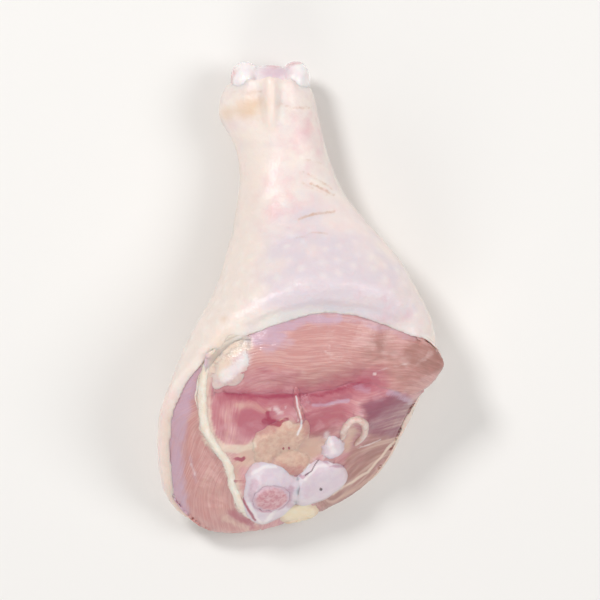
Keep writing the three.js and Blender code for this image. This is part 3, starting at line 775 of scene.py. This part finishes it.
    def laid(self, points, normals, relief, gap, outside, rim):
        """Gives the sleeve its relief and slack, and presses its rim and its end at the hock on the flesh."""
        x, y, z = points.T
        folds = cloud(points * (0.3, 1, 0.3), 1.7, 9) * smoothstep(y, -2, 14)
        loose = 0.25 * cloud(points, 9, 1) + 0.1 * cloud(points, 3.2, 2) + 0.12 * folds
        tendon = trail(points, 1.5, *self.TENDON) + spots(points, self.BY_THE_TENDON)
        lift = (relief + loose - 0.55 * rim**2) * outside
        lift += tendon * (z > 14) * outside
        low = smoothstep(-y, 46, 58)
        tip = spot(points, *self.TIP)
        slide = rim**2 * (0.6 * cloud(points, 6, 3) + 0.25 * cloud(points, 2.5, 4) - 1.8 * low - 1.4 * tip)
        ends = np.maximum(rim, smoothstep(y, 53, 57)) * (1 - outside)
        inward = normals - (normals @ FACE_OUT)[:, None] * FACE_OUT
        spread = (0.9 + spots(points, self.SPREAD)) * rim**2 * (1 - outside)
        points = drawn_out(points + normals * lift[:, None]) + spread[:, None] * inward
        inside = surface_of(*self.PRESSED_ON)
        reach = 3.5 + spots(points, self.REACH)
        points += ends[:, None] * (closed_up(points, inside, keep=-0.15, reach=reach) - points)
        keep = 0.3 + 0.5 * smoothstep(-x, 8, 18) + 0.4 * low - 0.6 * spot(points, *self.TIGHT)
        keep = keep * smoothstep(gap, 0.2, 1.6) - 0.1
        return pressed_down(points + FACE_OUT * slide[:, None], inside, keep, smoothstep(rim, 0.8, 0.97))

    def paint(self, mesh, start, points, normals, follicle, wrinkle, outside, rim):
        """Stores where fat, flush, painted shade in the creases and follicles show. start is where the points
        came from.
        """
        top = smoothstep(normals[:, 2], -0.1, 0.5)
        broad, fine = cloud(points, 16, 5), cloud(points, 5, 6)
        painted = {
            name: spots(points, marks) + top * spots(points, self.UPPER_MARKS[name])
            for name, marks in self.MARKS.items()
        }
        painted["fat"] += 0.6 * (1 - top) + 0.3 * broad + 1.1 * top * trail(points, 1.6, *self.TENDON_FAT)
        painted["bluish"] += 0.3 * broad + 0.5 * fine - 0.1 + 0.45 * top * trail(points, 3.5, *self.RIM_FOLD)
        painted["flush"] += 0.5 * cloud(points, 3.4, 10)
        painted["yellow"] += 0.5 * wrinkle + 0.7 * rim * spot(points, *self.YELLOW_RIM)
        # painted shade along the bottom of each fold
        painted["crease"] = 1.2 * self.wrinkles(points, self.FOLD_SHADE_WIDTH)
        painted["edge"] = rim**4 * (1.15 - 0.9 * top * smoothstep(start[:, 1], -34, -20))
        painted["sheath"] = 1.2 * rim**3 * spot(points, *self.SHEATH_UNDER_RIM) * (1 - outside)
        painted["follicle"] = (0.85 + 0.3 * fine) * follicle * outside
        for name, values in painted.items():
            put_attribute(mesh, name, values)

    def plucked_skin(self, look):
        # Raw poultry skin, plucked: thin, translucent and moist over cream fat, raised at each follicle.
        layers = [
            ("bluish", look.bluish, 3, 0.9, 0.9),
            ("flush", look.flush, 2.5, 0.9, 0.7),
            ("fat", look.fat, 3, 0.8, 0.8),
            ("yellow", look.yellow, 2.2, 0.6, 0.95),
            # painted shade at the bottom of the folds
            ("crease", "d0a183", 1.2, 0.9, 0.55),
            ("follicle", "faf1ea", 1.6, 0.3, 0.36),
            ("edge", "ead2c4", 1.8, 0.5, 0.9),
            ("sheath", "c9a2b8", 2.0, 0.5, 0.8),
        ]
        finish = {
            "roughness": 0.4,
            "coat": 0.4,
            "coat_roughness": 0.17,
            "subsurface": 0.4,
            "scatter": 2.2,
            "relief_size": 0.8,
            "relief": 0.12,
        }
        mottle = ("fbeee4", 6, 0.7)
        return moist_tissue("raw_poultry_skin", look.base, mottle, layers, finish)


class DRUMSTICK_OT_muscles(bpy.types.Operator):
    """Dresses the three muscle heads with fibres, creases, film, fat and blood, and paints shade along the
    crease
    """

    bl_idname = "drumstick.muscles"
    bl_label = "Muscle heads"

    # The way the fibres run, each (x, y, degrees, reach) in plan, in millimetres.
    GRAIN = {
        "calf_muscle": [
            (-14, -19, 28, 9),
            (0, -15, 6, 10),
            (16, -13, -10, 10),
            (30, -17, -22, 9),
            (26, -22, 12, 5),
        ],
        "outer_muscle": [(-29, -38, 86, 12), (-27, -20, 64, 9), (-22, -54, 108, 9)],
        "shin_muscle": [
            (-14, -32, 84, 6),
            (-6, -30, 60, 5),
            (7, -32, 30, 7),
            (22, -30, 44, 8),
            (16, -44, 46, 10),
            (30, -24, 30, 8),
            (-8, -50, 70, 8),
        ],
    }

    # Where pale fibres and fat run between the red ones.
    STRANDS = [
        (1.1, 4.4, (8, -52), (16, -46), (24, -37), (29, -30)),
        (0.7, 3.5, (3, -33), (12, -30)),
        (0.6, 3.0, (14, -40), (21, -34)),
        (0.3, 5.0, (10, -14), (32, -15)),
        (0.6, 4.0, (-28, -32), (-26, -46), (-20, -56)),
        (0.6, 3.0, (-18, -30), (-18, -37)),
    ]

    def execute(self, context):
        look = context.scene.drumstick_flesh
        face = smooth_face()
        for node, base, under in (
            ("calf_muscle", look.salmon, ()),
            ("outer_muscle", look.salmon, ()),
            ("shin_muscle", look.rose, ("calf_muscle", "outer_muscle")),
        ):
            piece = refined(node, "raw_" + node, levels=1, smoothing=8, cell=look.cell)
            self.raise_fibres(piece.data, look, node, face, under)
            finish_piece(piece, node, self.raw_muscle(look, node, base))
        return {"FINISHED"}

    def raise_fibres(self, mesh, look, node, face, under):
        """Closes a head up to its neighbours, lays it on the smooth face and raises its fibres."""
        others = [name for name in MUSCLES + ("skin",) if name != node and name not in under]
        points = points_of(mesh)
        points = relaxed(mesh, points, brushed(points, [(1.0, 2.5, *CREASE, *CREASE_END)]), rounds=12)
        points = closed_up(points, surface_of(*others), keep=0.05, reach=1.8)
        covers = surface_of(*under, *PALE_INLAYS, *WHITE_INLAYS, "shin_bone")
        above = distance_to(covers, points)
        points = closed_up(points, covers, keep=-0.5, reach=2.0)
        up = normals_of(mesh) @ FACE_OUT
        over = height_over(face, points)
        facing = smoothstep(up, -0.3, 0.05)
        depth = np.where(above < 1.5, 4.0, 2.2)
        near = (over < 2.5) * smoothstep(over, -1.3 * depth, -depth)
        points = drawn_out(points - (facing * near * over)[:, None] * FACE_OUT)
        along, across = grain_of(points, self.GRAIN[node])
        lift = streaks(along, across, length=12, width=1.7, seed=1)
        lift += 0.7 * streaks(along, across, length=7, width=0.8, seed=2)
        lift *= look.fibre_height / MM * smoothstep(up, 0.3, 0.7)
        lift += face_relief(points) - 0.12 * hill(above, 0.8)
        points = points + (lift * near * facing)[:, None] * FACE_OUT
        put_points(mesh, relaxed(mesh, points, trail(points, 1.6, *CREASE) * near, rounds=6))
        put_grain(mesh, along, across, points[:, 2])
        paint_face(mesh)
        strands = 0.45 + 0.9 * streaks(along, across, length=9, width=0.7, seed=5)
        put_attribute(mesh, "strand", strands * brushed(points, self.STRANDS, drift_of(points)))
        put_attribute(mesh, "tendon", smoothstep(points[:, 1], 36, 46))

    def raw_muscle(self, look, node, base):
        # Raw chicken muscle, cut and moist: pink fibres in fine bundles under a thin bluish sheath. Single
        # fibres are 0.1 mm across, too fine to show, so bundles of 0.4 mm are drawn.
        layers = [
            ("brown", look.brown, 0.9, 1.0, 0.85),
            ("purple", look.purple, 0.8, 0.9, 0.9),
            ("strand", "dcbcac", 0.8, 0.5, 0.75),
            # deep muscle, with painted shade along the crease
            ("deep", look.deep, 0.9, 0.8, 0.9),
            ("film", look.film, 1.1, 1.1, 0.75),
            ("tan", look.tan, 0.7, 0.8, 0.9),
            ("cream", look.cream, 0.7, 0.6, 0.9),
            # white tissue, with a few painted highlights
            ("white", "eee2e2", 0.5, 0.9, 0.8),
            # blood, with painted shade along the crease
            ("blood", look.blood, 0.6, 0.7, 0.95),
            ("tendon", "ead8d0", 0.9, 0.6, 0.95),
        ]
        finish = {
            "roughness": 0.34,
            "coat": 0.65,
            "coat_roughness": 0.1,
            "subsurface": 0.35,
            "scatter": 1.8,
            "relief_size": 1.6,
            "relief": 0.12,
        }
        grain = ("e6beb6", 0.45, 6.0, 0.4, 0.09)
        return moist_tissue("raw_" + node, base, ("cf9490", 4, 0.4), layers, finish, grain)


class DRUMSTICK_OT_joint(bpy.types.Operator):
    """Dresses the knee joint: cartilage, bone end, capsule, fat, sheath, septum and ligaments"""

    bl_idname = "drumstick.joint"
    bl_label = "Knee joint"

    # For each node: its piece, its tissue and its levels of subdivision; then in millimetres how far its
    # outline swells, how ragged the outline is, the size of its lobes, how high it domes over the face, and
    # how far from the muscles its border shows.
    PIECES = {
        "knee_cartilage": ("knee_cartilage_lobes", "joint_cartilage", 3, 0.8, 0.4, 3.0, 0.5, 1.2),
        "shin_bone": ("shin_bone_end", "spongy_bone", 2, 0.9, 0.0, 2.0, 0.55, 1.2),
        "joint_capsule": ("joint_capsule_pad", "joint_capsule", 3, 0.9, 1.1, 1.8, 0.3, 1.2),
        "ligament_stub": ("white_ligament_stub", "joint_cartilage", 3, 0.5, 0.7, 1.4, 0.65, 1.2),
        "fascia": ("muscle_sheath_pad", "muscle_sheath", 2, 1.6, 1.4, 2.2, 0.1, 1.2),
        "joint_fat": ("joint_fat_pad", "joint_capsule", 3, 1.0, 1.3, 2.0, 0.3, 1.2),
        "knee_fat": ("knee_fat_pad", "yellow_fat", 2, 0.9, 0.7, 2.4, 0.3, 1.2),
        "septum": ("cream_septum_line", "cream_septum", 2, 0.5, 0.9, 2.2, 0.16, 0.6),
        "tendon_strand": ("thin_tendon", "thin_tendon_fibres", 2, 0.35, 0.3, 1.2, 0.3, 1.2),
        "ligament_loop": ("hooked_ligament", "ligament_band", 2, 0.15, 0.3, 1.5, 0.65, 1.2),
    }
    RIM_SWELL = 2.0  # millimetres more that the muscle sheath pad swells towards the skin's rim
    TO_THE_RIM = np.array((-0.6, 0.8, 0))

    def execute(self, context):
        tissues = self.tissues(context.scene.drumstick_joint, context.scene.drumstick_flesh)
        muscles, bone, cartilage = surface_of(*MUSCLES), surface_of("shin_bone"), surface_of("knee_cartilage")
        face = smooth_face()
        for node, (name, tissue, levels, swell, ragged, size, dome, border) in self.PIECES.items():
            piece = refined(node, name, levels, smoothing=2)
            mesh = piece.data
            points, normals = points_of(mesh), normals_of(mesh)
            up = normals @ FACE_OUT
            aside = normals - up[:, None] * FACE_OUT
            lumps = cloud(points, size, 11) + 0.4 * cloud(points, size / 2, 12)
            spread = swell + ragged * lumps
            if node == "fascia":
                spread += self.RIM_SWELL * np.clip(aside @ self.TO_THE_RIM, 0, 1)
            if node == "knee_cartilage":  # it doesn't swell over the bone end
                spread *= smoothstep(distance_to(bone, points), 0.3, 1.5)
            points = points + aside * spread[:, None]
            over = height_over(face, points)
            facing = smoothstep(up, -0.15, 0.15) * (np.abs(over) < 3)
            wanted = dome * np.clip(up, 0, 1) ** 0.7 - 0.03 + face_relief(points)
            wanted += 0.15 * ragged * lumps * up
            points = points + (facing * (wanted - over))[:, None] * FACE_OUT
            points = relaxed(mesh, points, facing, rounds=3)
            put_points(mesh, points)
            paint_face(mesh)
            put_attribute(mesh, "border", hill(distance_to(muscles, points), border))
            ringed = cartilage if node == "shin_bone" else bone
            put_attribute(mesh, "ring", 1.2 * hill(distance_to(ringed, points), 1.0))
            covered = brushed(points, FACE_PICTURE["tan"] + FACE_PICTURE["cream"], drift_of(points))
            put_attribute(mesh, "flesh", 0.9 - 1.2 * covered)
            finish_piece(piece, node, tissues[tissue])
        return {"FINISHED"}

    def tissues(self, look, flesh):
        """The joint's materials by name."""
        moist = {"coat": look.wetness, "coat_roughness": 0.1, "relief_size": 0.6, "relief": 0.1}
        gristle = {**moist, "roughness": 0.28, "subsurface": 0.5, "scatter": 2.2}
        fatty = {**moist, "roughness": 0.38, "subsurface": 0.45, "scatter": 2.0}
        spongy = {**moist, "roughness": 0.36, "subsurface": 0.4, "scatter": 1.8}
        spongy.update(relief_size=1.0, relief=0.09)
        blood = ("blood", flesh.blood, 0.5, 0.6, 0.85)
        # painted shade in the crack by a lobe, and a dark vessel
        dark = ("dark", "4a2f33", 0.6, 0.2, 0.9)
        # white tissue, with a few painted highlights
        white = ("white", "f6eeee", 0.6, 0.3, 0.9)
        # Joint cartilage: smooth, bluish white and glossy.
        cartilage = [
            ("border", "dcbcc2", 1.2, 0.8, 0.7),
            ("ring", "cf9fb0", 1.0, 0.7, 0.8),
            ("purple", "c59bad", 0.8, 0.6, 0.8),
            white,
            blood,
            dark,
        ]
        # Spongy bone: pink with marrow between fine struts.
        bone = [("ring", "dcc0cc", 1.2, 1.0, 0.95)]
        # Joint capsule: tan fibrous tissue with small vessels.
        capsule = [
            ("flesh", "c98f8c", 1.0, 1.0, 0.9),
            ("cream", flesh.cream, 1.0, 0.6, 0.8),
            white,
            blood,
            dark,
        ]
        # Yellow fat: soft lobules.
        fat = [("border", "dcb9a0", 1.2, 0.8, 0.7)]
        # Cream septum: dense pale fibres with fat, slightly translucent.
        septum = [("border", "dba99e", 0.9, 1.2, 0.8), blood]
        # Muscle sheath: a thin shining bluish white film, cream where fat lies under it.
        sheath = [
            ("cream", flesh.cream, 1.6, 0.7, 0.9),
            ("film", flesh.film, 1.6, 0.7, 0.8),
            ("border", "dfbfb4", 1.1, 1.0, 0.7),
            white,
        ]
        # Thin tendon: pale fibres let into the muscle.
        tendon = [("deep", flesh.deep, 0.9, 0.8, 0.8), blood, white]
        # Hooked ligament: a pale glossy band, pinker where it thins.
        ligament = [("border", "cf9f92", 0.9, 0.9, 0.8), white]
        recipes = {
            "joint_cartilage": (look.cartilage, ("dcc8d6", 3, 0.6), cartilage, gristle),
            "spongy_bone": (look.marrow, ("e6c4c8", 1.1, 0.8), bone, spongy),
            "joint_capsule": (look.capsule, ("d3a898", 1.4, 0.75), capsule, fatty),
            "yellow_fat": (look.yellow_fat, ("f3e6d2", 2, 0.6), fat, fatty),
            "cream_septum": ("f3e0cf", ("f9eee4", 1.5, 0.7), septum, fatty),
            "muscle_sheath": ("e6d2d0", ("d6b6bc", 2.0, 0.7), sheath, gristle),
            "thin_tendon_fibres": ("cd928f", ("d9aaa2", 1.4, 0.7), tendon, gristle),
            "ligament_band": ("e8d3cb", ("d8b0a4", 1.6, 0.8), ligament, gristle),
        }
        return {name: moist_tissue(name, *recipe) for name, recipe in recipes.items()}


class DRUMSTICK_OT_hock(bpy.types.Operator):
    """Dresses the hock's cartilage rollers"""

    bl_idname = "drumstick.hock"
    bl_label = "Hock"

    CELL = 0.45 * MM  # size of the rollers' faces
    BAND_TOP = ((-11, 62.4), (-6, 61.6), (0, 62.6))  # the band's upper edge in plan, in millimetres

    def execute(self, context):
        look = context.scene.drumstick_joint
        piece = refined("hock_cartilage", "hock_rollers", levels=2, smoothing=6, cell=self.CELL)
        mesh = piece.data
        points, normals = points_of(mesh), normals_of(mesh)
        put_points(mesh, points + normals * (0.3 + 0.2 * cloud(points, 2.6, 21))[:, None])
        # the lavender band between the rollers: partly its own tone, partly painted shade in the hollow
        put_attribute(mesh, "band", spot(points, -6.5, 60, 5.5, 3.0))
        flush = spot(points, -18.0, 59.5, 1.4, 3) + 0.9 * trail(points, 0.8, *self.BAND_TOP)
        put_attribute(mesh, "flush", flush + 0.4 * cloud(points, 3, 22))
        # Hock cartilage: bluish white, very smooth and glossy, pinker between the rollers, where the lavender
        # band is partly painted shade in the hollow.
        layers = [("band", "d9c0cc", 2, 0.6, 0.9), ("flush", "dca7ab", 1.6, 0.7, 0.8)]
        finish = {
            "roughness": 0.25,
            "coat": look.wetness,
            "coat_roughness": 0.08,
            "subsurface": 0.5,
            "scatter": 2.4,
            "relief_size": 0.8,
            "relief": 0.06,
        }
        mottle = (look.cartilage, 3, 0.35)
        material = moist_tissue("hock_cartilage", "fbf4f3", mottle, layers, finish)
        finish_piece(piece, "hock_cartilage", material)
        return {"FINISHED"}


class DRUMSTICK_OT_stage(bpy.types.Operator):
    """Sets up the floor, the soft lights and the camera straight above"""

    bl_idname = "drumstick.stage"
    bl_label = "Stage"

    # Each softbox is (name, place, diameter, watts), in metres.
    SOFTBOXES = [
        ("softbox_key", (-0.4, 0.45, 0.75), 0.24, 4.0),
        ("softbox_fill", (0.6, 0.1, 0.7), 0.5, 2.8),
        ("softbox_knee", (-0.2, -0.78, 0.5), 0.55, 2.0),
    ]
    FLOOR_HALF = 3  # half the floor's width, in metres
    ROOM_LIGHT = 0.44

    def execute(self, context):
        look = context.scene.drumstick_stage
        scene = context.scene
        scene.view_settings.view_transform = "Standard"
        self.lay_floor(look)
        for name, place, size, power in self.SOFTBOXES:
            lamp = bpy.data.lights.new(name, "AREA")
            lamp.shape = "DISK"
            lamp.size = size
            lamp.energy = power
            light = add_object(name, lamp)
            light.location = place
            light.rotation_euler = (-Vector(place)).to_track_quat("-Z", "Y").to_euler()
        world = bpy.data.worlds.new("studio")
        world.use_nodes = True
        background = world.node_tree.nodes["Background"]
        background.inputs["Color"].default_value = linear("f4f3f2")
        background.inputs["Strength"].default_value = self.ROOM_LIGHT
        scene.world = world
        camera = bpy.data.cameras.new("camera")
        camera.lens = camera.sensor_width * look.camera_height / look.field
        camera.clip_end = 10
        low, high = CAD_BOX
        scene.camera = add_object("camera", camera)
        scene.camera.location = ((low.x + high.x) / 2, (low.y + high.y) / 2, look.camera_height)
        return {"FINISHED"}

    def lay_floor(self, look):
        bm = bmesh.new()
        bmesh.ops.create_grid(bm, x_segments=1, y_segments=1, size=self.FLOOR_HALF)
        floor = add_object("floor", mesh_from(bm, "floor"))
        # Matt laminate: smooth and pale, with no pattern.
        laminate = bpy.data.materials.new("matt_laminate")
        laminate.use_nodes = True
        tree = laminate.node_tree
        tree.nodes.clear()
        inputs = {"Base Color": tuple(look.floor), "Roughness": 0.6, "IOR": 1.45}
        shader = add_node(tree, "BsdfPrincipled", {}, inputs)
        add_node(tree, "OutputMaterial", {}, {"Surface": shader})
        floor.data.materials.append(laminate)


class DRUMSTICK_PT_panel(bpy.types.Panel):
    """Lists the steps that build the drumstick"""

    bl_idname = "DRUMSTICK_PT_panel"
    bl_label = "Raw chicken drumstick"
    bl_space_type = "VIEW_3D"
    bl_region_type = "UI"
    bl_category = "Drumstick"

    def draw(self, context):
        for operator in OPERATORS:
            self.layout.operator(operator.bl_idname)
        for group in GROUPS:
            column = self.layout.column()
            settings = getattr(context.scene, group)
            for key in settings.bl_rna.properties.keys():
                if key not in ("rna_type", "name"):
                    column.prop(settings, key)


OPERATORS = (
    DRUMSTICK_OT_skin,
    DRUMSTICK_OT_muscles,
    DRUMSTICK_OT_joint,
    DRUMSTICK_OT_hock,
    DRUMSTICK_OT_stage,
)
GROUPS = {
    "drumstick_skin": DrumstickSkinProperties,
    "drumstick_flesh": DrumstickFleshProperties,
    "drumstick_joint": DrumstickJointProperties,
    "drumstick_stage": DrumstickStageProperties,
}


def register():
    for name, group in GROUPS.items():
        bpy.utils.register_class(group)
        setattr(bpy.types.Scene, name, bpy.props.PointerProperty(type=group))
    for operator in OPERATORS:
        bpy.utils.register_class(operator)
    bpy.utils.register_class(DRUMSTICK_PT_panel)


def unregister():
    bpy.utils.unregister_class(DRUMSTICK_PT_panel)
    for operator in reversed(OPERATORS):
        bpy.utils.unregister_class(operator)
    for name, group in reversed(GROUPS.items()):
        delattr(bpy.types.Scene, name)
        bpy.utils.unregister_class(group)


def main():
    register()
    bpy.ops.drumstick.muscles()
    bpy.ops.drumstick.joint()
    bpy.ops.drumstick.hock()
    bpy.ops.drumstick.skin()
    bpy.ops.drumstick.stage()


if __name__ == "__main__":
    main()
